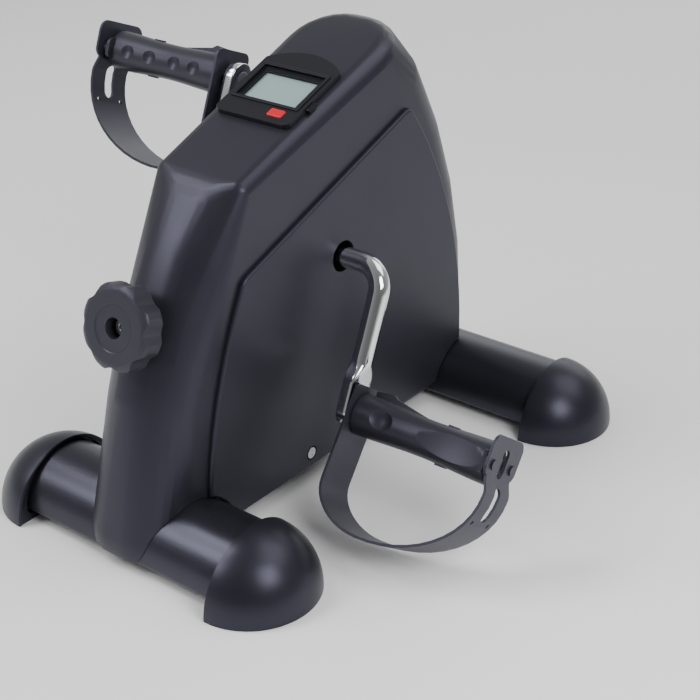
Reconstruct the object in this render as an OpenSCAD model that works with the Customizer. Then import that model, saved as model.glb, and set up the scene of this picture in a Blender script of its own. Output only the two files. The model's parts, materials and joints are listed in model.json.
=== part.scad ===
// Pedal exerciser: a tall casing on two half-round stabiliser tubes, a bent one-piece crank with
// strapped pedals, a band brake set by a knob on the front column, and a counter on top.
// X runs across the machine, -Y is the user's side with the knob, Z is up. Millimetres.

/* [Stabilisers] */
// Distance between the centre lines of the two tubes
tube_spacing = 310; // [300:1:320]
// Front to back width of the half-round tube
tube_w = 74; // [73:0.5:76]
// Height of the half-round tube
tube_h = 38; // [37.5:0.5:38.5]
// Wall of the tube
tube_wall = 2; // [1.5:0.5:3]
// Half length of the front tube as far as the mouth of its caps
front_rim = 87; // [80:1:92]
// Half length of the rear tube as far as the mouth of its caps
rear_rim = 134; // [125:1:138]
// Radius of the ball-shaped end caps
cap_r = 48; // [48:0.5:50]
// How far a tube runs into its cap
socket_depth = 8; // [6:1:8]
// How far the plug of a cap runs into its tube
plug_len = 26; // [15:1:30]

/* [Casing] */
// Half width of the spine shell at the middle of the machine
casing_half_w = 42; // [41:0.5:44]
// Sideways growth of the casing for each millimetre towards the rear
casing_splay = 0.035; // [0.02:0.005:0.04]
// Wall of the spine shell
casing_wall = 2.5; // [2:0.5:3]
// Radius of the long curve of the front column
front_arc_r = 394; // [392:1:398]
// Radius of the long curve of the rear edge
rear_arc_r = 420; // [415:1:425]
// Slope of the top, in degrees
top_slope = 20.5; // [20:0.1:21]
// Edge radius along both sides of the top
top_edge_r = 10; // [8:0.5:12]
// Edge radius round the rear end of the top
crown_edge_r = 14; // [12:0.5:16]
// Radius of the bend from the top down to the front column
nose_bend_r = 40; // [36:1:46]
// Radius of the rounded rear end of the top, seen from above
crown_round = 40; // [38:0.5:42]
// Edge radius along the front column
nose_edge_r = 35; // [33:0.5:35]
// Edge radius along the rear
rear_edge_r = 30; // [28:0.5:31]
// Thickness of the raised side covers
cover_t = 3.4; // [2.5:0.1:4]
// Height of the lower edge of the covers
cover_low = 14; // [12:1:18]

/* [Crank] */
// Height of the axle
axle_z = 171.5; // [168:0.5:174]
// Diameter of the bent bar
rod_d = 15; // [14:0.5:16]
// Axle to pedal distance
crank_len = 101.3; // [98:0.1:102]
// Angle of the right arm forward of straight down
crank_angle = 22.6; // [15:0.1:30]
// Middle of the arm, measured from the middle of the machine
arm_x = 81; // [80:0.5:81]
// Radius of the bend, on the middle line of the bar
bend_r = 18; // [16:1:22]
// Thickness of the flattened arm end
eye_t = 10; // [8:0.5:10]
// Width of the flattened arm end
eye_w = 24; // [22:1:26]

/* [Pedals] */
// Diameter of the pedal spindle
spindle_d = 12; // [11:0.5:12]
// Inner end of the pedal body
pedal_in = 92; // [92:0.5:93]
// Outer end of the pedal body
pedal_out = 199; // [197:0.5:200]
// Radius of the pedal body at its inner end
pedal_r_in = 15; // [14.5:0.5:16]
// Radius of the pedal body at its waist
pedal_r_mid = 13.2; // [12.5:0.1:14]
// Radius of the pedal body at its outer end
pedal_r_out = 15; // [14.5:0.5:16]
// Width of the strap
strap_w = 37; // [34:1:38]
// Thickness of the strap
strap_t = 2; // [1.5:0.5:2]
// Depth of the strap loop below the pedal axis
strap_depth = 79; // [74:0.5:79]
// Outward bulge of the strap
strap_bulge = 4; // [3:0.5:5]
// Forward tilt of the right strap from straight down
right_strap_tilt = 36; // [35:1:45]
// Forward tilt of the left strap from straight down
left_strap_tilt = 22; // [10:1:45]

/* [Brake] */
// Radius of the brake drum
drum_r = 42; // [40:0.5:42]
// Width of the brake drum
drum_w = 16; // [14:1:18]
// Upward tilt of the knob axis, in degrees
knob_tilt = 16; // [15:0.5:16]
// Largest radius of the knob
knob_r = 29.5; // [28:0.5:30]
// Thickness of the knob
knob_t = 18; // [16:0.5:18]
// Depth of the hollows around the knob
knob_wave = 4.2; // [3:0.2:4.6]
// Diameter of the tension screw
screw_d = 8; // [7:0.5:8]

/* [Console] */
// Width of the console
console_w = 64; // [62:1:66]
// Length of the console along the slope, at its sides
console_l = 61; // [60:1:62]
// Rise of the arched rear edge
console_arch = 12; // [10:1:13]
// Height of the console above the casing
console_t = 3.4; // [3:0.1:3.4]
// Width of the display window
window_w = 56; // [54:1:57]
// Length of the display window along the slope
window_l = 38; // [36:1:39]
// Width of the key
key_w = 12.5; // [11:0.5:13]
// Length of the key along the slope
key_l = 7.5; // [7:0.5:8]

/* [Hidden] */
$fn = 64;

tube_y = tube_spacing / 2;
tube_base = 6.5;
tube_corner = 4;
beam_base = tube_base + tube_h + 1.5;
axle_y = 1;
fit = 0.05;
bolt_y = tube_y - 9;
beam_len = tube_spacing + 4;

// Middle of the console's sides, front to back.
console_y = -11.8;

// Long curves of the casing in the middle plane, as [y, z].
front_c = [front_arc_r - 190.5, 0];
rear_c = [174 - rear_arc_r, 60];
top_p = [-38.6, 273];
top_d = [cos(top_slope), sin(top_slope)];
top_n = [-sin(top_slope), cos(top_slope)];

// Curves of the side cover outline.
cover_front_c = [260.2, 11.6];
cover_front_r = 400.4;
cover_rear_c = [-197.5, 47];
cover_rear_r = 349.4;
cover_slope = 21.6;
cover_p = [76, 258.7];
cover_d = [cos(cover_slope), sin(cover_slope)];
cover_n = [-sin(cover_slope), cos(cover_slope)];
cover_corner_r = 12;
cover_apex_r = 8;
screw_y = -36;
screw_z = 27;

// Knob axis: face centre and distances along the axis towards the inside.
face_y = -179;
face_z = 175.15;
collar_t0 = knob_t + 0.6;
collar_t1 = 60;
guide_t1 = 128;
nut_t0 = 92;
nut_t1 = 104;
band_r = drum_r + 3.4;

// Room between a pedal's end and the strap's tongue, and the pegs beside its slot.
strap_gap = 4;
peg_y = 14.5;

// Axle to knob axis distance, and the place on that axis nearest to the axle.
pull_gap = (axle_y - face_y) * sin(knob_tilt) + (axle_z - face_z) * cos(knob_tilt);
pull_t = (axle_y - face_y) * cos(knob_tilt) - (axle_z - face_z) * sin(knob_tilt);

// Distance from p along d to the circle of radius r about c.
function reach(p, d, c, r) = let (v = p - c, k = v * d) sqrt(k * k - v * v + r * r) - k;
function fan(c, r, a, b, n) = [for (i = [1:n]) c + r * [cos(mix(a, b, i / n)), sin(mix(a, b, i / n))]];

// Section of a tube, grown or shrunk by a gap: a round back, a flat underside and two small corners.
function tube_outline(gap) =
    let (r = tube_w / 2,
        mid = tube_base + tube_h - r,
        low = tube_base + tube_corner,
        a = asin((low - mid) / (r - tube_corner)),
        side = (r - tube_corner) * cos(a))
    concat(fan([0, mid], r + gap, a, 180 - a, 56),
        fan([-side, low], tube_corner + gap, 180 - a, 270, 8),
        fan([side, low], tube_corner + gap, 270, 360 + a, 8));
function on_arc(c, r, a) = c + r * [-cos(a), sin(a)];
function arc(c, r, a, b, n) = [for (i = [0:n]) on_arc(c, r, a + (b - a) * i / n)];
function half_w(y) = casing_half_w + casing_splay * y;
function mix(a, b, t) = a + (b - a) * t;

module along_x(len) {
    rotate([90, 0, 90])
        linear_extrude(len, center = true)
            children();
}

module rod_x(d, x0, x1) {
    translate([x0, 0, 0])
        rotate([0, 90, 0])
            cylinder(d = d, h = x1 - x0);
}

module at_axle() {
    translate([0, axle_y, axle_z])
        children();
}

// Local Z runs along the knob axis into the machine, from the knob's face.
module at_knob() {
    translate([0, face_y, face_z])
        rotate([-90 - knob_tilt, 0, 0])
            children();
}

// Local Y runs up the slope of the top and local Z out of the console's face.
module at_console() {
    translate([0, console_y, top_p[1] + (console_y - top_p[0]) * tan(top_slope)])
        rotate([top_slope, 0, 0])
            translate([0, 0, console_t + 0.1])
                children();
}

module at_pedal(angle, tilt) {
    translate([0, axle_y - crank_len * sin(angle), axle_z - crank_len * cos(angle)])
        rotate([-tilt, 0, 0])
            children();
}

module right_pedal_frame() {
    at_pedal(crank_angle, right_strap_tilt)
        children();
}

module left_pedal_frame() {
    at_pedal(crank_angle + 180, left_strap_tilt)
        mirror([1, 0, 0])
            children();
}

module tube_void(y, gap) {
    translate([0, y, 0])
        along_x(140)
            polygon(tube_outline(gap));
}

module bolt_holes(y, d) {
    for (x = [-12, 12])
        translate([x, y, -1])
            cylinder(d = d, h = 80);
}

module stabiliser_tube(y, half_len) {
    color([0.06, 0.06, 0.07])
        difference() {
            translate([0, y, 0])
                along_x(2 * half_len)
                    difference() {
                        polygon(tube_outline(0));
                        polygon(tube_outline(-tube_wall));
                    }
            bolt_holes(sign(y) * bolt_y, 8.6);
        }
}

module front_stabiliser_tube() {
    stabiliser_tube(-tube_y, front_rim + socket_depth);
}

module rear_stabiliser_tube() {
    stabiliser_tube(tube_y, rear_rim + socket_depth);
}

module end_cap() {
    color([0.1, 0.1, 0.11])
        difference() {
            intersection() {
                sphere(cap_r, $fn = 96);
                translate([0, -cap_r, 0])
                    cube([cap_r, 2 * cap_r, cap_r]);
            }
            difference() {
                union() {
                    along_x(2 * socket_depth + 2 * fit)
                        polygon(tube_outline(fit));
                    along_x(10)
                        polygon(tube_outline(2.2));
                }
                cap_plug();
            }
        }
    color([0.1, 0.1, 0.11])
        cap_plug();
}

module cap_plug() {
    translate([(cap_r / 3 - plug_len) / 2, 0, 0])
        along_x(cap_r / 3 + plug_len)
            polygon(tube_outline(-tube_wall - fit));
}

module front_right_end_cap() {
    translate([front_rim, -tube_y, 0])
        end_cap();
}

module front_left_end_cap() {
    translate([-front_rim, -tube_y, 0])
        mirror([1, 0, 0])
            end_cap();
}

module rear_right_end_cap() {
    translate([rear_rim, tube_y, 0])
        end_cap();
}

module rear_left_end_cap() {
    translate([-rear_rim, tube_y, 0])
        mirror([1, 0, 0])
            end_cap();
}

// A pair of balls of radius r whose outside touches the casing's side and its outline.
module edge_balls(c, r, inset) {
    for (s = [-1, 1])
        translate([s * (half_w(c[0]) - r), c[0], c[1]])
            sphere(r - inset, $fn = r > 20 ? 40 : 28);
}

// Centre of a ball of radius r that touches the top and the long curve of radius big about c.
function under_top(r, d, c, big) = let (p = top_p - r * top_n) p + d * reach(p, d, c, big - r);

// Balls along the bend from the top to the front column, where the side edge grows softer.
module nose_bend(inset) {
    bend = under_top(nose_bend_r, -top_d, front_c, front_arc_r);
    last = atan2(bend[1] - front_c[1], front_c[0] - bend[0]);
    for (t = [0:0.2:1])
        let (k = mix(top_edge_r, nose_edge_r, pow(t, 0.5)))
            edge_balls(on_arc(bend, nose_bend_r - k, mix(90 - top_slope, last, t)), k, inset);
}

// Balls round the rear end of the top.
module crown_ring(inset) {
    c = under_top(crown_edge_r, top_d, rear_c, rear_arc_r);
    for (a = [0:15:90], m = [-1, 1])
        let (
            y = c[0] - (crown_round - crown_edge_r) * (1 - sin(a)),
            x = half_w(y) - crown_round + (crown_round - crown_edge_r) * cos(a)
        )
            translate([m * x, y, c[1] + (y - c[0]) * tan(top_slope)])
                sphere(crown_edge_r - inset, $fn = 28);
}

module casing_solid(inset) {
    rear_ball = under_top(rear_edge_r + 18, top_d, rear_c, rear_arc_r);
    last = 180 - atan2(rear_ball[1] - rear_c[1], rear_ball[0] - rear_c[0]);
    rear_in = rear_arc_r - rear_edge_r;
    hull() {
        edge_balls([-196.5 + 30, 18], 30, inset);
        for (a = [2:5:32])
            edge_balls(on_arc(front_c, front_arc_r - nose_edge_r, a), nose_edge_r, inset);
        nose_bend(inset);
        crown_ring(inset);
        for (t = [0:0.2:1])
            edge_balls(on_arc(rear_c, rear_in, mix(186, last, t)), rear_edge_r, inset);
    }
}

module cover_outline(inset) {
    corner_p = cover_p - cover_corner_r * cover_n;
    corner_in = cover_front_r - cover_corner_r;
    corner_c = corner_p - cover_d * reach(corner_p, -cover_d, cover_front_c, corner_in);
    apex_p = cover_p - cover_apex_r * cover_n;
    apex_c = apex_p + cover_d * reach(apex_p, cover_d, cover_rear_c, cover_rear_r - cover_apex_r);
    up = 90 - cover_slope;
    low = asin((cover_low + inset - cover_front_c[1]) / (cover_front_r - inset));
    turn = atan2(corner_c[1] - cover_front_c[1], cover_front_c[0] - corner_c[0]);
    drop = 180 - atan2(apex_c[1] - cover_rear_c[1], apex_c[0] - cover_rear_c[0]);
    last = 180 - asin((cover_low + 4 + inset - cover_rear_c[1]) / (cover_rear_r - inset));
    polygon(concat(
        arc(cover_front_c, cover_front_r - inset, low, turn, 12),
        arc(corner_c, cover_corner_r - inset, turn, up, 8),
        arc(apex_c, cover_apex_r - inset, up, drop, 8),
        arc(cover_rear_c, cover_rear_r - inset, drop, last, 14)
    ));
}

// The cover's own plane leans outwards with the casing's splay.
module cover_plate(inset, x0, t) {
    rotate([0, 0, -atan(casing_splay)])
        translate([x0 + t / 2, 0, 0])
            along_x(t)
                cover_outline(inset);
}

// Hole behind a cover; a rim stays all round it and around the tubes.
module side_opening() {
    difference() {
        cover_plate(6, casing_half_w - 16, 30);
        tube_void(-tube_y, 6);
        tube_void(tube_y, 6);
    }
}

module screw_boss() {
    translate([30, screw_y - 7, cover_low])
        cube([9, 14, 22]);
}

module spine_shell() {
    color([0.09, 0.09, 0.1])
        difference() {
            union() {
                difference() {
                    casing_solid(0);
                    casing_solid(casing_wall);
                    for (s = [0, 1])
                        mirror([s, 0, 0])
                            side_opening();
                }
                for (s = [0, 1])
                    mirror([s, 0, 0])
                        screw_boss();
            }
            translate([-100, -150, -50])
                cube([200, 400, 50 + cover_low]);
            translate([-100, -300, -50])
                cube([200, 200, 60]);
            tube_void(-tube_y, 0.4);
            tube_void(tube_y, 0.4);
            at_knob()
                cylinder(d = 24.6, h = 80);
            at_console()
                translate([-29, -27.5, -30])
                    cube([58, 55, 40]);
            for (s = [0, 1])
                mirror([s, 0, 0])
                    translate([0, screw_y, screw_z])
                        rod_x(4.2, 29, 60);
        }
}

module side_cover() {
    color([0.1, 0.1, 0.11])
        difference() {
            cover_plate(0, casing_half_w + 0.1, cover_t);
            tube_void(-tube_y, 0.6);
            tube_void(tube_y, 0.6);
            at_axle()
                rod_x(23, 20, 80);
            translate([0, screw_y, screw_z])
                rod_x(4.4, 20, 80);
            translate([0, screw_y, screw_z])
                rod_x(11, casing_half_w + 0.4, 80);
        }
}

module right_side_cover() {
    side_cover();
}

module left_side_cover() {
    mirror([1, 0, 0])
        side_cover();
}

module cover_screws() {
    color([0.75, 0.75, 0.77])
        for (s = [0, 1])
            mirror([s, 0, 0])
                translate([0, screw_y, screw_z])
                    difference() {
                        union() {
                            rod_x(4, 31, casing_half_w + 0.5);
                            rod_x(8.6, casing_half_w + 0.5, casing_half_w + 2.4);
                        }
                        translate([casing_half_w + 2, -0.6, -3])
                            cube([2, 1.2, 6]);
                        translate([casing_half_w + 2, -3, -0.6])
                            cube([2, 6, 1.2]);
                    }
}

module base_beam() {
    color([0.3, 0.3, 0.32])
        difference() {
            union() {
                difference() {
                    translate([-20, -beam_len / 2, beam_base])
                        cube([40, beam_len, 18]);
                    translate([-18, -beam_len / 2 - 1, beam_base + 2])
                        cube([36, beam_len + 2, 14]);
                }
                for (s = [-1, 1])
                    translate([-20, s * (beam_len / 2 - 16) - 16, beam_base - 7])
                        cube([40, 32, 9]);
            }
            tube_void(-tube_y, fit);
            tube_void(tube_y, fit);
            bolt_holes(-bolt_y, 8.6);
            bolt_holes(bolt_y, 8.6);
        }
}

module stabiliser_bolts() {
    color([0.6, 0.6, 0.62])
        for (s = [-1, 1], x = [-12, 12])
            translate([x, s * bolt_y, tube_base - 2]) {
                cylinder(d = 8, h = beam_base + 20);
                cylinder(d = 13, h = 1.6);
            }
}

module stabiliser_nuts() {
    color([0.6, 0.6, 0.62])
        for (s = [-1, 1], x = [-12, 12])
            translate([x, s * bolt_y, beam_base + 18.1])
                difference() {
                    cylinder(d = 15, h = 6.5, $fn = 6);
                    translate([0, 0, -1])
                        cylinder(d = 8.1, h = 9);
                }
}

module upright() {
    color([0.3, 0.3, 0.32])
        difference() {
            translate([22.1, 0, 0])
                along_x(4)
                    polygon([[-60, 42], [60, 42], [60, 62], [36, 150], [36, 196], [18, 212],
                        [-24, 218], [-60, 214], [-60, 186], [-38, 150], [-60, 62]]);
            at_axle()
                rod_x(30, 10, 40);
            at_axle()
                translate([0, 52 * cos(150), 52 * sin(150)])
                    rod_x(8, 10, 40);
        }
}

module right_upright() {
    upright();
}

module left_upright() {
    mirror([1, 0, 0])
        upright();
}

module axle_bush() {
    color([0.72, 0.6, 0.3])
        at_axle()
            difference() {
                union() {
                    rod_x(30 - 2 * fit, 14, 30);
                    rod_x(36, 24.2, 27);
                }
                rod_x(rod_d + 2 * fit, 10, 40);
            }
}

module right_axle_bush() {
    axle_bush();
}

module left_axle_bush() {
    mirror([1, 0, 0])
        axle_bush();
}

// One half of the crank with its arm pointing straight down, about the axle.
module crank_half() {
    rod_x(rod_d, -1, arm_x - bend_r);
    translate([arm_x - bend_r, 0, -bend_r])
        rotate([90, 0, 0])
            rotate_extrude(angle = 90)
                translate([bend_r, 0])
                    circle(d = rod_d);
    translate([arm_x, 0, 30 - crank_len])
        cylinder(d = rod_d, h = crank_len - 30 - bend_r);
    translate([arm_x - eye_t / 2, -eye_w / 2, -crank_len])
        cube([eye_t, eye_w, 34]);
    translate([0, 0, -crank_len])
        rod_x(eye_w, arm_x - eye_t / 2, arm_x + eye_t / 2);
}

module crank_rod() {
    color([0.8, 0.81, 0.83])
        at_axle()
            for (s = [0, 1])
                rotate([180 * s - crank_angle, 0, 0])
                    mirror([s, 0, 0])
                        difference() {
                            crank_half();
                            translate([0, 0, -crank_len])
                                rod_x(spindle_d + 2 * fit, arm_x - 20, arm_x + 20);
                        }
}

module brake_drum() {
    color([0.55, 0.55, 0.57])
        at_axle()
            difference() {
                union() {
                    rod_x(24, -drum_w / 2 - 3, drum_w / 2 + 3);
                    rod_x(2 * drum_r, -3, 3);
                    difference() {
                        rod_x(2 * drum_r, -drum_w / 2, drum_w / 2);
                        rod_x(2 * drum_r - 16, -drum_w, drum_w);
                    }
                }
                rod_x(rod_d + 0.02, -40, 40);
            }
}

// Part of a ring about the axle, open at the lower front.
module band_ring(r0, r1, w) {
    at_axle()
        difference() {
            rod_x(2 * r1, -w / 2, w / 2);
            rod_x(2 * r0, -w, w);
            along_x(2 * w)
                polygon([[0, 0], 120 * [cos(152), sin(152)], [-120, -20], 120 * [cos(253), sin(253)]]);
        }
}

module brake_felt() {
    color([0.35, 0.33, 0.3])
        band_ring(drum_r + 0.4, drum_r + 2.3, drum_w - 3);
}

module brake_band() {
    color([0.62, 0.62, 0.64]) {
        band_ring(drum_r + 2.35, band_r, drum_w - 4);
        at_knob()
            translate([2.5 - drum_w / 2, band_r - pull_gap - 0.9, pull_t - 24])
                cube([drum_w - 5, 0.7, 27]);
    }
}

module band_anchor_pin() {
    color([0.6, 0.6, 0.62])
        at_axle()
            translate([0, 52 * cos(150), 52 * sin(150)])
                rod_x(7.9, -24, 24);
}

module knob_collar() {
    color([0.09, 0.09, 0.1])
        at_knob()
            difference() {
                translate([0, 0, collar_t0])
                    cylinder(d = 24, h = collar_t1 - collar_t0);
                cylinder(d = screw_d + 2 * fit, h = 100);
            }
}

module tension_guide() {
    color([0.3, 0.3, 0.32])
        at_knob()
            translate([0, 0, collar_t1 + 0.05])
                difference() {
                    cylinder(d = 26, h = guide_t1 - collar_t1);
                    translate([-7.3, -7.3, -1])
                        cube([14.6, 14.6, 100]);
                }
}

module tension_nut() {
    color([0.72, 0.6, 0.3])
        at_knob()
            difference() {
                translate([-7, -7, nut_t0])
                    cube([14, 14, nut_t1 - nut_t0 + 10]);
                cylinder(d = screw_d + 2 * fit, h = nut_t1 + 6.5);
            }
}

module tension_spring() {
    color([0.7, 0.7, 0.72])
        at_knob()
            translate([0, 0, nut_t1 + 10.1])
                difference() {
                    cylinder(d = 10, h = 30);
                    translate([0, 0, -1])
                        cylinder(d = 7, h = 40);
                }
}

module tension_screw() {
    color([0.7, 0.7, 0.72])
        at_knob()
            translate([0, 0, 12])
                cylinder(d = screw_d, h = nut_t1 - 12);
}

// Eight soft lobes, turned as the knob stands at rest.
module knob_outline() {
    polygon([for (i = [0:95])
        let (a = 360 * i / 96)
            (knob_r + 0.2 - knob_wave * (1 - cos(8 * (a - 17))) / 2) * [cos(a), sin(a)]]);
}

module tension_knob() {
    color([0.08, 0.08, 0.09])
        at_knob()
            difference() {
                intersection() {
                    rotate_extrude(convexity = 4)
                        polygon([[0, 0.7], [15.5, 0.7], [16.2, 0], [knob_r - 6, 0],
                            [knob_r - 3, 0.8], [knob_r - 1, 2.2], [knob_r, 4], [knob_r, knob_t - 4],
                            [knob_r - 1.5, knob_t - 1.5], [knob_r - 6, knob_t], [0, knob_t]]);
                    translate([0, 0, -1])
                        linear_extrude(knob_t + 2)
                            knob_outline();
                }
                cylinder(d = screw_d + 0.02, h = 50);
                translate([0, 0, -1])
                    cylinder(d = 14, h = 13);
            }
}

module knob_screw() {
    color([0.75, 0.75, 0.77])
        at_knob()
            difference() {
                translate([0, 0, 8.1])
                    cylinder(d = 11, h = 3.8);
                translate([0, 0, 6])
                    cylinder(d = 5, h = 4, $fn = 6);
            }
}

module console_outline(h) {
    arch_r = (console_w * console_w / 4 + console_arch * console_arch) / (2 * console_arch);
    intersection() {
        translate([-console_w / 2, -console_l / 2, 0])
            cube([console_w, 2 * console_l, h]);
        translate([0, console_l / 2 + console_arch - arch_r, 0])
            cylinder(r = arch_r, h = h);
        translate([0, 15, 0])
            cylinder(r = 53, h = h);
    }
}

module console_case() {
    color([0.05, 0.05, 0.06])
        at_console()
            difference() {
                union() {
                    translate([0, 0, -console_t])
                        console_outline(console_t);
                    translate([-28.5, -27, -22])
                        cube([57, 54, 22 - console_t]);
                }
                translate([-26.5, -25, -23])
                    cube([53, 50, 23 - console_t]);
                translate([-window_w / 2 - 0.2, 5 - window_l / 2 - 0.2, -1.5])
                    cube([window_w + 0.4, window_l + 0.4, 3]);
                translate([-24.5, -12.5, -10])
                    cube([49, 32, 12]);
                translate([15.7 - key_w / 2 - 0.2, -21 - key_l / 2 - 0.2, -10])
                    cube([key_w + 0.4, key_l + 0.4, 12]);
            }
}

module lcd_window() {
    color([0.55, 0.6, 0.58, 0.4])
        at_console()
            translate([-window_w / 2, 5 - window_l / 2, -1.45])
                cube([window_w, window_l, 1.3]);
}

module lcd_panel() {
    color([0.66, 0.73, 0.7])
        at_console()
            translate([-25.5, -14, -6])
                cube([51, 36, 2.4]);
}

module console_board() {
    color([0.1, 0.35, 0.18])
        at_console()
            translate([-26, -24.5, -9.4])
                cube([52, 49, 1.6]);
}

module battery() {
    color([0.7, 0.7, 0.72])
        at_console()
            translate([0, 6, -15.6])
                rod_x(10.4, -22, 22);
}

module console_back() {
    color([0.06, 0.06, 0.07])
        at_console()
            translate([-28.5, -27, -24.05])
                cube([57, 54, 2]);
}

module mode_button() {
    color([0.85, 0.12, 0.14])
        at_console()
            translate([15.7 - key_w / 2, -21 - key_l / 2, -5])
                cube([key_w, key_l, 6]);
}

module reed_sensor() {
    color([0.08, 0.08, 0.09])
        at_axle()
            translate([-20, 22, 16])
                cube([9, 9, 14]);
}

module sensor_magnet() {
    color([0.6, 0.6, 0.62])
        at_axle()
            translate([0, 24, -18])
                rod_x(6, -6.5, -3.02);
}

module pedal_spindle() {
    color([0.75, 0.75, 0.77]) {
        rod_x(spindle_d, arm_x - eye_t / 2, pedal_out + strap_gap - 0.6);
        rod_x(18, arm_x + eye_t / 2 + 0.02, arm_x + eye_t / 2 + 1.2);
    }
}

module right_pedal_spindle() {
    right_pedal_frame()
        pedal_spindle();
}

module left_pedal_spindle() {
    left_pedal_frame()
        pedal_spindle();
}

module spindle_nut() {
    color([0.75, 0.75, 0.77])
        difference() {
            translate([pedal_out - 8, 0, 0])
                rotate([0, 90, 0])
                    cylinder(d = 20, h = 6, $fn = 6);
            rod_x(spindle_d + 0.04, pedal_out - 20, pedal_out + 5);
        }
}

module right_spindle_nut() {
    right_pedal_frame()
        spindle_nut();
}

module left_spindle_nut() {
    left_pedal_frame()
        spindle_nut();
}

function pedal_r(t) = t < 0.5
    ? mix(pedal_r_in, pedal_r_mid, 0.5 - 0.5 * cos(360 * t))
    : mix(pedal_r_mid, pedal_r_out, 0.5 + 0.5 * cos(360 * t));

// A plate across X with rounded corners, from x to x + t.
module rounded_plate(x, t, half, z0, z1, r) {
    translate([x, -half, z0 + r])
        cube([t, 2 * half, z1 - z0 - 2 * r]);
    translate([x, r - half, z0])
        cube([t, 2 * half - 2 * r, z1 - z0]);
    for (y = [r - half, half - r], z = [z0 + r, z1 - r])
        translate([0, y, z])
            rod_x(2 * r, x, x + t);
}

// Thumb hollows: one round and one long on the side of s, four small ones on the other.
module grip_hollows(s, len) {
    translate([pedal_in + len * 0.22, -25 * s, 1])
        sphere(14);
    translate([pedal_in + len * 0.7, -113.6 * s, 0])
        sphere(103, $fn = 180);
    for (t = [0.2, 0.39, 0.62, 0.82])
        translate([pedal_in + len * t, s * (pedal_r(t) + 6.6), 0])
            sphere(9);
}

module pedal_body(s) {
    len = pedal_out - pedal_in;
    peg_end = pedal_out + strap_gap + strap_t;
    color([0.12, 0.12, 0.13])
        difference() {
            union() {
                translate([pedal_in, 0, 0])
                    rotate([0, 90, 0])
                        rotate_extrude(convexity = 4)
                            polygon(concat(
                                [[0, 0]],
                                [for (i = [0:20]) [pedal_r(i / 20), len * i / 20]],
                                [[0, len]]
                            ));
                rounded_plate(pedal_out - 3, 3, peg_y + 4, -8, 8, 5);
                translate([0, 5.5, 0])
                    rotate([90, 0, 0])
                        linear_extrude(3)
                            polygon([[pedal_in + 3, 5], [pedal_in + 3, 18.5], [pedal_in + 17, 20],
                                [pedal_in + 21, 17.6], [pedal_in + 48, 13], [pedal_in + 48, 5]]);
                translate([pedal_in + len * 0.62, -2, -pedal_r(0.62) - 1])
                    cube([8, 4, 2 * pedal_r(0.62) + 2]);
                for (y = [-peg_y, peg_y])
                    translate([0, y, 0]) {
                        rod_x(7.8, pedal_out - 3, pedal_out + strap_gap - 0.05);
                        rod_x(4.4, pedal_out - 3, peg_end + 1);
                        rod_x(7, peg_end + 0.05, peg_end + 1.4);
                    }
            }
            rod_x(spindle_d + 2 * fit, pedal_in - 5, pedal_out + 5);
            rod_x(20.6, pedal_out - 9, pedal_out + 5);
            grip_hollows(s, len);
        }
}

module right_pedal_body() {
    right_pedal_frame()
        pedal_body(1);
}

module left_pedal_body() {
    left_pedal_frame()
        pedal_body(-1);
}

// Middle line of the strap as [x, depth], from the inner leg round to the outer tongue.
function strap_path() = let (
        xi = pedal_in - 0.9 - strap_t / 2,
        xo = pedal_out + strap_gap + strap_t / 2,
        xb = 130,
        xm = xo + strap_bulge,
        d1 = 50,
        d2 = 20,
        db = strap_depth - strap_t / 2
    ) concat(
        [[xi, 0]],
        [for (i = [0:12]) [xb - (xb - xi) * cos(7.5 * i), d1 + (db - d1) * sin(7.5 * i)]],
        [for (i = [1:12]) [xb + (xm - xb) * sin(7.5 * i), d2 + (db - d2) * cos(7.5 * i)]],
        [for (i = [1:10]) [mix(xm, xo, 0.5 - 0.5 * cos(18 * i)), mix(d2, 6, i / 10)]],
        [[xo, 0]]
    );

function normal_at(p, i) = let (
        a = p[max(i - 1, 0)],
        b = p[min(i + 1, len(p) - 1)],
        d = (b - a) / norm(b - a)
    ) [d[1], -d[0]];

module slot_x(x, depth, w, l) {
    translate([0, 0, -depth])
        for (z = [-l / 2 + w / 2, l / 2 - w / 2])
            translate([0, 0, z])
                rod_x(w, x, x + 40);
    translate([x, -w / 2, -depth - l / 2 + w / 2])
        cube([40, w, l - w]);
}

module pedal_strap() {
    path = strap_path();
    last = len(path) - 1;
    xo = path[last][0];
    side_a = [for (i = [0:last]) path[i] + strap_t / 2 * normal_at(path, i)];
    side_b = [for (i = [last:-1:0]) path[i] - strap_t / 2 * normal_at(path, i)];
    color([0.11, 0.11, 0.12])
        difference() {
            union() {
                rotate([-90, 0, 0])
                    linear_extrude(strap_w, center = true)
                        polygon(concat(side_a, side_b));
                rounded_plate(path[0][0] - strap_t / 2, strap_t, strap_w / 2, -14, 19, 6);
                rounded_plate(xo - strap_t / 2, strap_t, strap_w / 2 + 4.5, -9, 20, 8);
            }
            rod_x(19.4, 80, 100);
            slot_x(xo - 12, -2, 9, 20);
            slot_x(xo - 12, 26, 9, 25);
            for (y = [-peg_y, peg_y])
                translate([0, y, 0])
                    rod_x(5, xo - 12, xo + 30);
            for (y = [-12, 12])
                translate([0, y, -40])
                    rod_x(3, xo - 12, xo + 30);
        }
}

module right_pedal_strap() {
    right_pedal_frame()
        pedal_strap();
}

module left_pedal_strap() {
    left_pedal_frame()
        pedal_strap();
}

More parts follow.
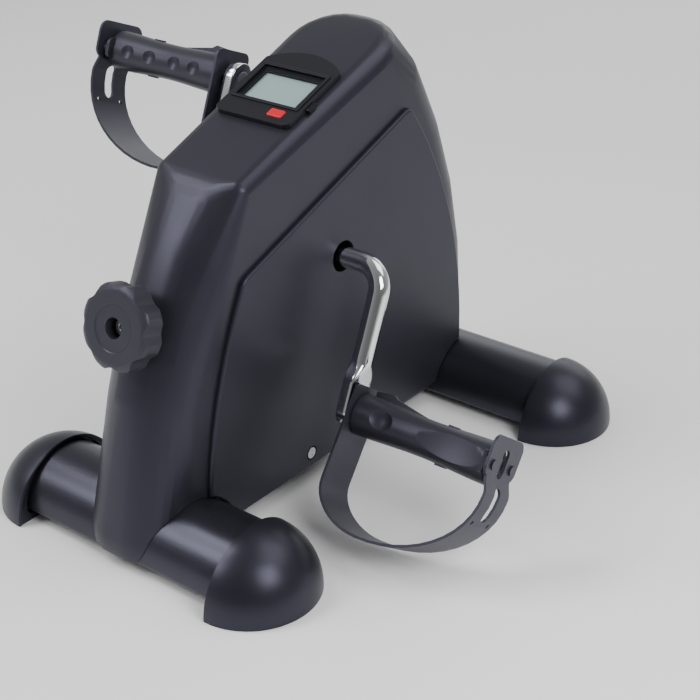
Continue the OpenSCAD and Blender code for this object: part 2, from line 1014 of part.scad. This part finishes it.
spine_shell();
right_side_cover();
left_side_cover();
front_stabiliser_tube();
rear_stabiliser_tube();
front_right_end_cap();
front_left_end_cap();
rear_right_end_cap();
rear_left_end_cap();
base_beam();
right_upright();
left_upright();
right_axle_bush();
left_axle_bush();
stabiliser_bolts();
stabiliser_nuts();
cover_screws();
crank_rod();
brake_drum();
brake_felt();
brake_band();
band_anchor_pin();
tension_guide();
tension_nut();
tension_spring();
tension_screw();
knob_collar();
tension_knob();
knob_screw();
console_case();
console_back();
lcd_window();
lcd_panel();
console_board();
battery();
mode_button();
reed_sensor();
sensor_magnet();
right_pedal_spindle();
left_pedal_spindle();
right_spindle_nut();
left_spindle_nut();
right_pedal_body();
left_pedal_body();
right_pedal_strap();
left_pedal_strap();
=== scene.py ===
import json
import math

import bmesh
import bpy
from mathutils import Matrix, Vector


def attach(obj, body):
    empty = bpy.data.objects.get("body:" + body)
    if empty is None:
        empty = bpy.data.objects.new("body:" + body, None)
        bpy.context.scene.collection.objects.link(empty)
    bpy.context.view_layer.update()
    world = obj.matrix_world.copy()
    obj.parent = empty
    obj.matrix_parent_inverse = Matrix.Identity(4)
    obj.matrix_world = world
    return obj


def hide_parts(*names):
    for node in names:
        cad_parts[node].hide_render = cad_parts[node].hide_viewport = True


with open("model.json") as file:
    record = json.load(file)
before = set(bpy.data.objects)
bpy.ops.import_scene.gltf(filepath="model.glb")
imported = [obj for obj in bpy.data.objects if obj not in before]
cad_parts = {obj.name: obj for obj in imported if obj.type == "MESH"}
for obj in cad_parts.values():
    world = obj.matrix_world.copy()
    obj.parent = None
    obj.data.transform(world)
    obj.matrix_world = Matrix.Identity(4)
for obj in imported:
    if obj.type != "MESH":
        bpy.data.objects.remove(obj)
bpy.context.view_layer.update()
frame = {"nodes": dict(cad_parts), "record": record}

# Lengths are in millimetres and angles in degrees, apart from the studio's, which are in metres.
MM = 0.001

# Camera of the photograph.
CAMERA_PLACE = (0.60603, -0.73623, 0.5985)
CAMERA_TURN = (61.55, 0.0, 36.96)
CAMERA_LENS = 74.82

# The floor lies just under the feet. The surroundings are dimmer on one side, behind the camera.
FLOOR_SIZE = 60.0
FLOOR_Z = -0.0004
DARK_SIDE = (0.74, -0.65, 0.15)
GLOW_MEAN = 0.40
GLOW_FALL = 0.25

# Soft boxes: place, aim, size, and power in watts.
SOFT_BOXES = {
    "right_box": ((0.74, -0.27, 0.66), (0.1, -0.05, 0.1), (0.42, 0.42), 5.0),
    "left_box": ((-0.78, -1.0, 1.05), (0, -0.05, 0.15), (0.55, 0.55), 9.0),
    "top_box": ((0.9, 0.9, 2.2), (0, 0, 0.1), (1.6, 1.6), 20.0),
    "far_box": ((-1.0, -0.55, 1.75), (0, -0.1, 0.05), (0.6, 0.6), 12.0),
    "back_box": ((-0.5, 1.8, 0.9), (0, 0, 0.25), (2.0, 1.0), 8.0),
}

# An edge that turns by more than SHARP is rounded. Points closer than MERGE_GAP, in metres, are
# joined, and faces that turn by less than FLAT_WITHIN are made one.
SHARP = 35
MERGE_GAP = 2e-6
FLAT_WITHIN = 0.3

# Crank, as the solids have it. Its bar is round up to ROUND_UNTIL before the eye, flat from FLAT_FROM.
AXLE = Vector((0, 1.0, 171.5))
CRANK_ANGLE = 22.6
CRANK_LENGTH = 101.3
ARM_X = 81.0
BEND_R = 18.0
ROD_R = 7.5
ROD_STATIONS = (8, 30, 50)
ROUND_UNTIL = 36
FLAT_FROM = 20
EYE_HALF_T = 4.9
EYE_HALF_W = 12.0
EYE_THINNING = 0.12
BEND_STEPS = 12
FLAT_STEPS = 6
EYE_STEPS = 10

# Powers of the bar's sections: an ellipse, and the nearly square one of its eye.
ROUND_POWER = 2.0
EYE_POWER = 7.0
SECTION_POINTS = 28

# Console frame: a point on its face, its slope, and the size of its front corners.
CONSOLE_SLOPE = 20.5
CONSOLE_LIFT = 3.5
CONSOLE_FOOT = Vector((0, -11.8, 283.02))
CONSOLE_CORNER = 2.2
CONSOLE_CORNER_X = 24
CONSOLE_CORNER_Y = 20

# The catch at the console's side: size, and place on the console.
CATCH_SIZE = (5, 9, 2.6)
CATCH_PLACE = (33.4, -6.0, -2.0)
CATCH_ROUND = 0.8

# Side covers: their inner face at the middle of the machine, its splay, and their screw. The rim's
# rounding keeps away from the flat inside and from the holes of axle and screw.
COVER_X = 42.1
COVER_SPLAY = 0.035
COVER_SCREW = (-36, 27)
RIM_PROUD = 2
AXLE_HOLE = 16
SCREW_HOLE = 9

# The casing's curved back: it starts at this Y, and ends at the sides.
REAR_ARCH_Y = 20
REAR_ARCH_X = 41

# Ball-shaped end caps: mouth of each cap, the ball's radius, and the rolled lip in its mouth.
CAP_R = 48.0
CAP_MOUTHS = {
    "front_right_end_cap": (87, -155),
    "front_left_end_cap": (-87, -155),
    "rear_right_end_cap": (134, 155),
    "rear_left_end_cap": (-134, 155),
}
LIP_R = 1.5
LIP_INSIDE = 1.55
LIP_SET = 1.0
LIP_FLOOR = 0.05

# Reflections on the black plastic and paint are a little blue.
COOL_TINT = (0.74, 0.74, 1.0, 1)


class Signal:
    """An output socket of a node tree, with the sums that are used on it."""

    def __init__(self, tree, socket):
        self.tree = tree
        self.socket = socket

    def node(self, kind, settings=None, values=None, out=0):
        """Adds a node: its settings first, then the values or links of its sockets."""
        made = self.tree.nodes.new(kind)
        for key, value in (settings or {}).items():
            setattr(made, key, value)
        for key, value in (values or {}).items():
            if isinstance(value, Signal):
                self.tree.links.new(value.socket, made.inputs[key])
            else:
                made.inputs[key].default_value = value
        return Signal(self.tree, made.outputs[out])

    def sum(self, operation, first, second):
        return self.node("ShaderNodeMath", {"operation": operation}, {0: first, 1: second})

    def __add__(self, other):
        return self.sum("ADD", self, other)

    def __radd__(self, other):
        return self.sum("ADD", other, self)

    def __sub__(self, other):
        return self.sum("SUBTRACT", self, other)

    def __rsub__(self, other):
        return self.sum("SUBTRACT", other, self)

    def __mul__(self, other):
        return self.sum("MULTIPLY", self, other)

    def __rmul__(self, other):
        return self.sum("MULTIPLY", other, self)

    def noise(self, scale, detail=2.0, rough=0.5):
        return self.node("ShaderNodeTexNoise", None,
                         {"Vector": self, "Scale": scale, "Detail": detail, "Roughness": rough})

    def tint(self, dark, light):
        """A colour between two, by this signal: sockets 0, 6 and 7 of a Mix node, and its output 2."""
        return self.node("ShaderNodeMix", {"data_type": "RGBA"},
                         {0: self, 6: (*dark, 1), 7: (*light, 1)}, out=2)

    def bump(self, strength, distance):
        return self.node("ShaderNodeBump", None,
                         {"Height": self, "Strength": strength, "Distance": distance})

    def stretched(self, scale):
        return self.node("ShaderNodeMapping", None, {"Vector": self, "Scale": scale})

    def along(self, direction):
        """How far this vector reaches in a direction."""
        return self.node("ShaderNodeVectorMath", {"operation": "DOT_PRODUCT"},
                         {0: self, 1: direction}, out=1)


def new_finish(name, plain=None):
    """A material with one Principled shader: returns it, that shader and its Object coordinates."""
    finish = bpy.data.materials.new(name)
    finish.use_nodes = True
    tree = finish.node_tree
    shader = tree.nodes["Principled BSDF"]
    for key, value in (plain or {}).items():
        shader.inputs[key].default_value = value
    coords = tree.nodes.new("ShaderNodeTexCoord")
    return finish, shader, Signal(tree, coords.outputs["Object"])


def feed(shader, **signals):
    sockets = {"colour": "Base Color", "roughness": "Roughness", "normal": "Normal", "alpha": "Alpha",
               "emission": "Emission Color", "strength": "Strength"}
    for key, signal in signals.items():
        signal.tree.links.new(signal.socket, shader.inputs[sockets[key]])


def moulded(name, dark, light, rough, grain=900.0, depth=0.06, shine=0.5):
    """Moulded plastic: faint clouding, fine grain, and rubbed patches that shine a little more."""
    finish, shader, place = new_finish(name, {"Specular IOR Level": shine, "Specular Tint": COOL_TINT})
    cloud = place.noise(scale=9.0, detail=3.0)
    rubbed = place.noise(scale=34.0, detail=4.0, rough=0.6)
    skin = place.noise(grain, rough=0.7)
    feed(shader, colour=(cloud * 0.7 + skin * 0.3).tint(dark, light),
         roughness=rough - 0.06 + rubbed * 0.1 + skin * 0.05,
         normal=skin.bump(depth, distance=0.0004))
    return finish


def painted(name, dark, light, rough):
    """Powder paint on steel: a shallow orange-peel skin under a soft gloss."""
    finish, shader, place = new_finish(name, {"Specular IOR Level": 0.6, "Specular Tint": COOL_TINT})
    peel = place.noise(scale=420.0)
    wear = place.noise(scale=18.0, detail=5.0, rough=0.65)
    feed(shader, colour=wear.tint(dark, light), roughness=rough + wear * 0.12 - 0.05,
         normal=peel.bump(strength=0.12, distance=0.0005))
    return finish


def plated(name, dark, light, rough, depth=0.02):
    """Bare or plated metal with fine lines from its polishing."""
    finish, shader, place = new_finish(name, {"Metallic": 1.0})
    drawn = place.stretched((60.0, 900.0, 900.0)).noise(scale=1.0, detail=3.0, rough=0.6)
    haze = place.noise(scale=30.0, detail=3.0)
    feed(shader, colour=(drawn * 0.5 + haze * 0.5).tint(dark, light),
         roughness=rough + haze * 0.06 + drawn * 0.03,
         normal=drawn.bump(depth, distance=0.0002))
    return finish


def woven(name, dark, light):
    """Pressed felt: short fibres over a coarse nap."""
    finish, shader, place = new_finish(name, {"Roughness": 0.95, "Sheen Weight": 0.4})
    fibre = place.stretched((300.0, 1400.0, 700.0)).noise(scale=1.0, detail=4.0, rough=0.7)
    feed(shader, colour=fibre.tint(dark, light), normal=fibre.bump(strength=0.5, distance=0.0006))
    return finish


def clear_lens(name):
    """Clear cast window, with a faint haze of wiping marks."""
    finish, shader, place = new_finish(name, {"Base Color": (0.02, 0.024, 0.024, 1), "IOR": 1.49})
    wiped = place.stretched((40.0, 260.0, 260.0)).noise(scale=1.0, detail=4.0, rough=0.6)
    feed(shader, roughness=0.03 + wiped * 0.05, alpha=0.05 + wiped * 0.05)
    return finish


def glowing_crystal(name, dark, light):
    """Grey-green reflective display, faintly clouded and speckled, with a faint glow of its own colour that
    is painted light.
    """
    # The display's colour is also fed to its emission: a painted glow that brightens it as if lit.
    finish, shader, place = new_finish(name, {"Roughness": 0.35, "Emission Strength": 0.12})
    cloud = place.noise(scale=14.0)
    speck = place.noise(scale=2600.0, detail=1.0)
    colour = (cloud * 0.75 + speck * 0.25).tint(dark, light)
    feed(shader, colour=colour, emission=colour)
    return finish


FINISH = {
    "shell": moulded("charcoal_shell", (0.0125, 0.0122, 0.0165), (0.0175, 0.0170, 0.0225), 0.36),
    "cover": moulded("charcoal_cover", (0.0125, 0.0122, 0.0165), (0.0170, 0.0165, 0.0220), 0.40),
    "cap": moulded("black_cap", (0.0095, 0.0095, 0.0125), (0.0140, 0.0140, 0.0180), 0.34),
    "knob": moulded("black_knob", (0.0230, 0.0230, 0.0280), (0.0310, 0.0310, 0.0370), 0.40),
    "pedal": moulded("pedal_grip", (0.0170, 0.0170, 0.0215), (0.0250, 0.0245, 0.0310), 0.40,
                     grain=700.0, depth=0.1),
    "strap": moulded("strap_soft", (0.0190, 0.0185, 0.0260), (0.0270, 0.0262, 0.0360), 0.42,
                     grain=1200.0, depth=0.12),
    "console": moulded("console_black", (0.0100, 0.0100, 0.0125), (0.0150, 0.0150, 0.0180), 0.36,
                       grain=1100.0, depth=0.05, shine=0.2),
    "mask": moulded("mask_black", (0.0045, 0.0045, 0.0055), (0.0080, 0.0080, 0.0095), 0.34, shine=0.2),
    "key": moulded("red_key", (0.58, 0.006, 0.012), (0.70, 0.012, 0.020), 0.35,
                   grain=1500.0, depth=0.03, shine=0.3),
    "board": moulded("green_board", (0.02, 0.16, 0.06), (0.04, 0.24, 0.1), 0.35),
    "tube": painted("black_tube", (0.0085, 0.0085, 0.0105), (0.0140, 0.0140, 0.0175), 0.32),
    "frame": painted("grey_frame", (0.09, 0.09, 0.1), (0.15, 0.15, 0.16), 0.45),
    "chrome": plated("chrome_bar", (0.70, 0.71, 0.73), (0.86, 0.87, 0.89), 0.05),
    "zinc": plated("zinc_steel", (0.50, 0.50, 0.52), (0.70, 0.70, 0.72), 0.25, depth=0.06),
    "iron": plated("turned_iron", (0.28, 0.28, 0.29), (0.42, 0.42, 0.43), 0.38, depth=0.1),
    "bronze": plated("oiled_bronze", (0.42, 0.29, 0.12), (0.58, 0.42, 0.2), 0.3, depth=0.06),
    "felt": woven("brake_felt_grey", (0.10, 0.09, 0.08), (0.2, 0.18, 0.16)),
    "lens": clear_lens("clear_window_lens"),
    "lcd": glowing_crystal("display_grey_green", (0.30, 0.44, 0.42), (0.38, 0.53, 0.51)),
}


def only(*objs):
    """Leaves just these objects selected, the first one active, in object mode."""
    if bpy.context.object and bpy.context.object.mode != "OBJECT":
        bpy.ops.object.mode_set(mode="OBJECT")
    bpy.ops.object.select_all(action="DESELECT")
    for obj in objs:
        obj.select_set(True)
    bpy.context.view_layer.objects.active = objs[0] if objs else None


def edit(piece):
    only(piece)
    bpy.ops.object.mode_set(mode="EDIT")
    bpy.ops.mesh.select_mode(type="VERT")
    bpy.ops.mesh.select_all(action="SELECT")


def leave():
    bpy.ops.object.mode_set(mode="OBJECT")


def merged_copy(node, name, whole_faces):
    """A copy of a solid's mesh with its loose triangles joined and, if asked, its flat faces made whole."""
    piece = bpy.data.objects.new(name, frame["nodes"][node].data.copy())
    bpy.context.scene.collection.objects.link(piece)
    piece.data.materials.clear()
    edit(piece)
    bpy.ops.mesh.customdata_custom_splitnormals_clear()
    bpy.ops.mesh.remove_doubles(threshold=MERGE_GAP)
    if whole_faces:
        bpy.ops.mesh.dissolve_limited(angle_limit=math.radians(FLAT_WITHIN))
    leave()
    return piece


def rounded(piece, width, segments=3, where=None, clamp=True):
    """Rounds the sharp edges of a piece, or those whose two ends lie where a test on a point says."""
    only(piece)
    bevel = piece.modifiers.new("round", "BEVEL")
    bevel.width = width * MM
    bevel.segments = segments
    bevel.limit_method = "ANGLE"
    bevel.angle_limit = math.radians(SHARP)
    bevel.use_clamp_overlap = clamp
    if where:
        mesh = bmesh.new()
        mesh.from_mesh(piece.data)
        weight = mesh.edges.layers.float.new("bevel_weight_edge")
        for edge in mesh.edges:
            sharp = edge.calc_face_angle(0.0) > bevel.angle_limit
            edge[weight] = 1.0 if sharp and all(where(v.co / MM) for v in edge.verts) else 0.0
        mesh.to_mesh(piece.data)
        mesh.free()
        bevel.limit_method = "WEIGHT"
    bpy.ops.object.modifier_apply(modifier=bevel.name)


def weighted(piece, **settings):
    """Turns a smooth piece's normals towards its larger faces, or as the settings say."""
    weigh = piece.modifiers.new("weigh", "WEIGHTED_NORMAL")
    weigh.keep_sharp = True
    for key, value in settings.items():
        setattr(weigh, key, value)
    bpy.ops.object.modifier_apply(modifier=weigh.name)


def smoothed(piece, angle=SHARP, arched=None):
    """Shades a piece smoothly; where a test on a point says so, its facets blend evenly into an arch."""
    only(piece)
    bpy.ops.object.shade_smooth_by_angle(angle=math.radians(angle))
    weighted(piece)
    if arched:
        group = piece.vertex_groups.new(name="arched")
        group.add([v.index for v in piece.data.vertices if arched(v.co / MM)], 1.0, "ADD")
        weighted(piece, mode="CORNER_ANGLE", vertex_group=group.name)


def settle(piece, body, slot, finish, *nodes):
    """Gives a finished piece its material and body, and hides the nodes it stands for. The slot is not
    used.
    """
    piece.data.materials.clear()
    piece.data.materials.append(FINISH[finish])
    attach(piece, body)
    if nodes:
        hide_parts(*nodes)


def body_of(node):
    return next(b for b, members in frame["record"]["behaviour"]["bodies"].items() if node in members)


def slot_of(node):
    return next(s["material_slot"] for s in frame["record"]["subparts"] if s["node"] == node)


def on_cover_rim(point):
    """Whether a point is on the outer face of a side cover, away from its two holes."""
    proud = abs(point.x) - COVER_X - COVER_SPLAY * point.y
    from_axle = math.hypot(point.y - AXLE.y, point.z - AXLE.z)
    from_screw = math.hypot(point.y - COVER_SCREW[0], point.z - COVER_SCREW[1])
    return proud > RIM_PROUD and from_axle > AXLE_HOLE and from_screw > SCREW_HOLE


def on_rear_arch(point):
    """Whether a point is on the casing's curved back."""
    return point.y > REAR_ARCH_Y and abs(point.x) < REAR_ARCH_X


def at_console_corner(point):
    """Whether a point is at one of the console's front corners."""
    return abs(point.x) > CONSOLE_CORNER_X and point.y < CONSOLE_FOOT.y - CONSOLE_CORNER_Y


def dress(node, finish, round_mm, smooth_angle):
    """Stands a smoothed copy with rounded edges in place of a solid."""
    piece = merged_copy(node, node + "_dressed", round_mm > 0)
    if node.endswith("side_cover"):
        rounded(piece, round_mm, segments=5, where=on_cover_rim, clamp=False)
    elif round_mm:
        if node == "console_case":
            rounded(piece, CONSOLE_CORNER, segments=4, where=at_console_corner)
        rounded(piece, round_mm)
    smoothed(piece, smooth_angle, on_rear_arch if node == "spine_shell" else None)
    settle(piece, body_of(node), slot_of(node), finish, node)


def lofted(name, rings):
    """A closed skin through rings of points, extruded one ring after another."""
    count = len(rings[0])
    only()
    bpy.ops.mesh.primitive_circle_add(vertices=count, radius=MM, fill_type="NGON")
    piece = bpy.context.object
    piece.name = name
    bpy.ops.object.mode_set(mode="EDIT")
    last = None
    for ring in rings:
        if last:
            bpy.ops.mesh.extrude_region_move()
        mesh = bmesh.from_edit_mesh(piece.data)
        picked = [v for v in mesh.verts if v.select]
        for order, v in enumerate(picked):
            at = min(range(count), key=lambda k: (last[k] - v.co).length) if last else order
            v.co = ring[at]
        bmesh.update_edit_mesh(piece.data)
        last = [p.copy() for p in ring]
    bpy.ops.mesh.select_all(action="SELECT")
    bpy.ops.mesh.normals_make_consistent(inside=False)
    leave()
    return piece


def section(centre, across, along, a, b, power):
    """Points of a rounded section: an ellipse at power 2, squarer above it."""
    points = []
    for i in range(SECTION_POINTS):
        c = math.cos(2 * math.pi * i / SECTION_POINTS)
        s = math.sin(2 * math.pi * i / SECTION_POINTS)
        x = math.copysign(abs(c) ** (2 / power), c) * a
        y = math.copysign(abs(s) ** (2 / power), s) * b
        points.append((centre + across * x + along * y) * MM)
    return points


def crank_side():
    """Sections of one half of the crank: place along X, reach down the arm, turn, half sizes and power."""
    stations = [(x, 0.0, 0.0, ROD_R, ROD_R, ROUND_POWER) for x in ROD_STATIONS]
    for i in range(BEND_STEPS + 1):
        turn = math.pi / 2 * i / BEND_STEPS
        x = ARM_X - BEND_R + BEND_R * math.sin(turn)
        reach = BEND_R - BEND_R * math.cos(turn)
        stations.append((x, reach, turn, ROD_R, ROD_R, ROUND_POWER))
    down = math.pi / 2
    flat_from = CRANK_LENGTH - ROUND_UNTIL
    flat_to = CRANK_LENGTH - FLAT_FROM
    for i in range(FLAT_STEPS + 1):
        t = i / FLAT_STEPS
        ease = t * t * (3 - 2 * t)
        stations.append((ARM_X, flat_from + (flat_to - flat_from) * t, down,
                         ROD_R + (EYE_HALF_T - ROD_R) * ease, ROD_R + (EYE_HALF_W - ROD_R) * ease,
                         ROUND_POWER + (EYE_POWER - ROUND_POWER) * ease))
    for i in range(EYE_STEPS + 1):
        # The last section stops just short of the tip, so that it keeps a width.
        turn = math.pi / 2 * i / (EYE_STEPS + 0.2)
        stations.append((ARM_X, CRANK_LENGTH + EYE_HALF_W * math.sin(turn), down,
                         EYE_HALF_T * (1 - EYE_THINNING * (i / EYE_STEPS) ** 6),
                         EYE_HALF_W * math.cos(turn), EYE_POWER))
    return stations


def make_crank():
    """The bent bar: one skin from eye to eye, its left half turned half way round from the right one."""
    angle = math.radians(CRANK_ANGLE)
    x_axis = Vector((1, 0, 0))
    arm = Vector((0, -math.sin(angle), -math.cos(angle)))
    flat = x_axis.cross(arm)
    rings = []
    for side in (-1, 1):
        half = []
        for x, reach, turn, a, b, power in crank_side():
            outward = x_axis * math.sin(turn) - arm * math.cos(turn)
            centre = AXLE + (x_axis * x + arm * reach) * side
            half.append(section(centre, outward, flat, a, b, power))
        rings += half if side > 0 else half[::-1]
    piece = lofted("crank_bar", rings)
    smoothed(piece, angle=50)
    settle(piece, "crank", "chrome_bar", "chrome", "crank_rod")


def make_cap_lips():
    """The rolled lip around the mouth of each end cap, cut off flat at the floor."""
    for node, (x, y) in CAP_MOUTHS.items():
        side = 1 if x > 0 else -1
        only()
        bpy.ops.mesh.primitive_torus_add(
            location=((x + side * LIP_SET) * MM, y * MM, 0), rotation=(0, math.pi / 2, 0),
            major_segments=96, minor_segments=20,
            major_radius=(CAP_R - LIP_INSIDE) * MM, minor_radius=LIP_R * MM)
        piece = bpy.context.object
        piece.name = node + "_lip"
        bpy.ops.object.transform_apply(location=True, rotation=True, scale=True)
        edit(piece)
        bpy.ops.mesh.bisect(plane_co=(0, 0, LIP_FLOOR * MM), plane_no=(0, 0, 1),
                            clear_inner=True, use_fill=True)
        leave()
        smoothed(piece, angle=40)
        settle(piece, "base", "cap_plastic", "cap")


def put_on_console(piece, place):
    """Moves a piece's points from the ground plane to a place on the console's sloping face."""
    slope = math.radians(CONSOLE_SLOPE)
    up = Vector((0, math.cos(slope), math.sin(slope)))
    out = Vector((0, -math.sin(slope), math.cos(slope)))
    for point in piece.data.vertices:
        u, v, n = (point.co[i] / MM + place[i] for i in range(3))
        point.co = (CONSOLE_FOOT + Vector((u, 0, 0)) + up * v + out * (n + CONSOLE_LIFT)) * MM


def console_frame(name, place, outer, inner, height, finish, round_mm):
    """A rectangular ring that stands on the console's face, with rounded edges."""
    only()
    bpy.ops.mesh.primitive_plane_add(size=1.0)
    piece = bpy.context.object
    piece.name = name
    edit(piece)
    bpy.ops.transform.resize(value=(outer[0] * MM, outer[1] * MM, 1))
    bpy.ops.mesh.select_mode(type="FACE")
    bpy.ops.mesh.inset(thickness=(outer[0] - inner[0]) / 2 * MM)
    bpy.ops.mesh.delete(type="FACE")
    bpy.ops.mesh.select_all(action="SELECT")
    bpy.ops.mesh.extrude_region_move(TRANSFORM_OT_translate={"value": (0, 0, height * MM)})
    bpy.ops.mesh.select_all(action="SELECT")
    bpy.ops.mesh.normals_make_consistent(inside=False)
    leave()
    put_on_console(piece, place)
    rounded(piece, round_mm, segments=4)
    smoothed(piece, angle=40)
    settle(piece, "base", "console_plastic", finish)


def make_console_trim():
    """The frame and the dark mask around the display, and the catch at the console's side."""
    console_frame("display_frame", place=(0, 5, -0.1), outer=(57.5, 39.5), inner=(52.5, 34.5), height=1.0,
                  finish="console", round_mm=0.4)
    console_frame("display_mask", place=(0, 3.6, -3.3), outer=(49.4, 32.4), inner=(45.6, 28.6), height=1.7,
                  finish="mask", round_mm=0.2)
    only()
    bpy.ops.mesh.primitive_cube_add(size=1.0)
    catch = bpy.context.object
    catch.name = "console_catch"
    edit(catch)
    bpy.ops.transform.resize(value=[length * MM for length in CATCH_SIZE])
    leave()
    put_on_console(catch, CATCH_PLACE)
    rounded(catch, CATCH_ROUND)
    smoothed(catch)
    settle(catch, "base", "console_plastic", "mask")


# Solids that get a smoothed copy: its finish, the rounding of its edges, and the angle it is smoothed by.
DRESSED = {
    "spine_shell": ("shell", 0.0, 28),
    "right_side_cover": ("cover", 2.2, SHARP),
    "left_side_cover": ("cover", 2.2, SHARP),
    "front_stabiliser_tube": ("tube", 0.0, SHARP),
    "rear_stabiliser_tube": ("tube", 0.0, SHARP),
    "front_right_end_cap": ("cap", 0.0, SHARP),
    "front_left_end_cap": ("cap", 0.0, SHARP),
    "rear_right_end_cap": ("cap", 0.0, SHARP),
    "rear_left_end_cap": ("cap", 0.0, SHARP),
    "cover_screws": ("zinc", 0.25, SHARP),
    "tension_knob": ("knob", 1.6, 40),
    "knob_collar": ("knob", 0.6, SHARP),
    "knob_screw": ("zinc", 0.4, SHARP),
    "console_case": ("console", 0.7, SHARP),
    "lcd_window": ("lens", 0.0, SHARP),
    "mode_button": ("key", 1.2, SHARP),
    "right_pedal_body": ("pedal", 0.5, SHARP),
    "left_pedal_body": ("pedal", 0.5, SHARP),
    "right_pedal_strap": ("strap", 0.45, SHARP),
    "left_pedal_strap": ("strap", 0.45, SHARP),
    "right_pedal_spindle": ("zinc", 0.4, SHARP),
    "left_pedal_spindle": ("zinc", 0.4, SHARP),
    "right_spindle_nut": ("zinc", 0.5, SHARP),
    "left_spindle_nut": ("zinc", 0.5, SHARP),
}

# Solids that keep their own mesh, with the finish of each.
PLAIN = {
    "frame": ("base_beam", "right_upright", "left_upright", "tension_guide"),
    "bronze": ("right_axle_bush", "left_axle_bush", "tension_nut"),
    "zinc": ("stabiliser_bolts", "stabiliser_nuts", "brake_band", "band_anchor_pin", "tension_spring",
             "tension_screw", "sensor_magnet", "battery"),
    "iron": ("brake_drum",),
    "felt": ("brake_felt",),
    "lcd": ("lcd_panel",),
    "board": ("console_board",),
    "knob": ("reed_sensor",),
    "console": ("console_back",),
}


def make_studio():
    """Pale floor, surroundings that dim to one side, soft boxes, and the photograph's camera."""
    only()
    bpy.ops.mesh.primitive_plane_add(size=FLOOR_SIZE, location=(0, 0, FLOOR_Z))
    floor = bpy.context.object
    floor.name = "studio_floor"
    paper, shader, place = new_finish("studio_paper", {"Roughness": 0.9})
    feed(shader, colour=place.noise(scale=3.0).tint((0.95, 0.95, 0.95), (0.97, 0.97, 0.97)))
    floor.data.materials.append(paper)

    world = bpy.data.worlds.new("studio")
    bpy.context.scene.world = world
    world.use_nodes = True
    glow = world.node_tree.nodes["Background"]
    glow.inputs["Color"].default_value = (1, 1, 1, 1)
    coords = world.node_tree.nodes.new("ShaderNodeTexCoord")
    sky = Signal(world.node_tree, coords.outputs["Generated"])
    feed(glow, strength=GLOW_MEAN - sky.along(DARK_SIDE) * GLOW_FALL)

    for name, (place, aim, size, power) in SOFT_BOXES.items():
        bpy.ops.object.light_add(type="AREA", location=place)
        light = bpy.context.object
        light.name = name
        light.data.shape = "RECTANGLE"
        light.data.size, light.data.size_y = size
        light.data.energy = power
        light.visible_camera = False
        light.rotation_euler = (Vector(aim) - Vector(place)).to_track_quat("-Z", "Y").to_euler()

    bpy.ops.object.camera_add(location=CAMERA_PLACE, rotation=[math.radians(a) for a in CAMERA_TURN])
    camera = bpy.context.object
    camera.data.lens = CAMERA_LENS
    bpy.context.scene.camera = camera


for node, (finish, round_mm, angle) in DRESSED.items():
    dress(node, finish, round_mm, angle)
for finish, nodes in PLAIN.items():
    for node in nodes:
        frame["nodes"][node].data.materials.clear()
        frame["nodes"][node].data.materials.append(FINISH[finish])
make_crank()
make_cap_lips()
make_console_trim()
make_studio()
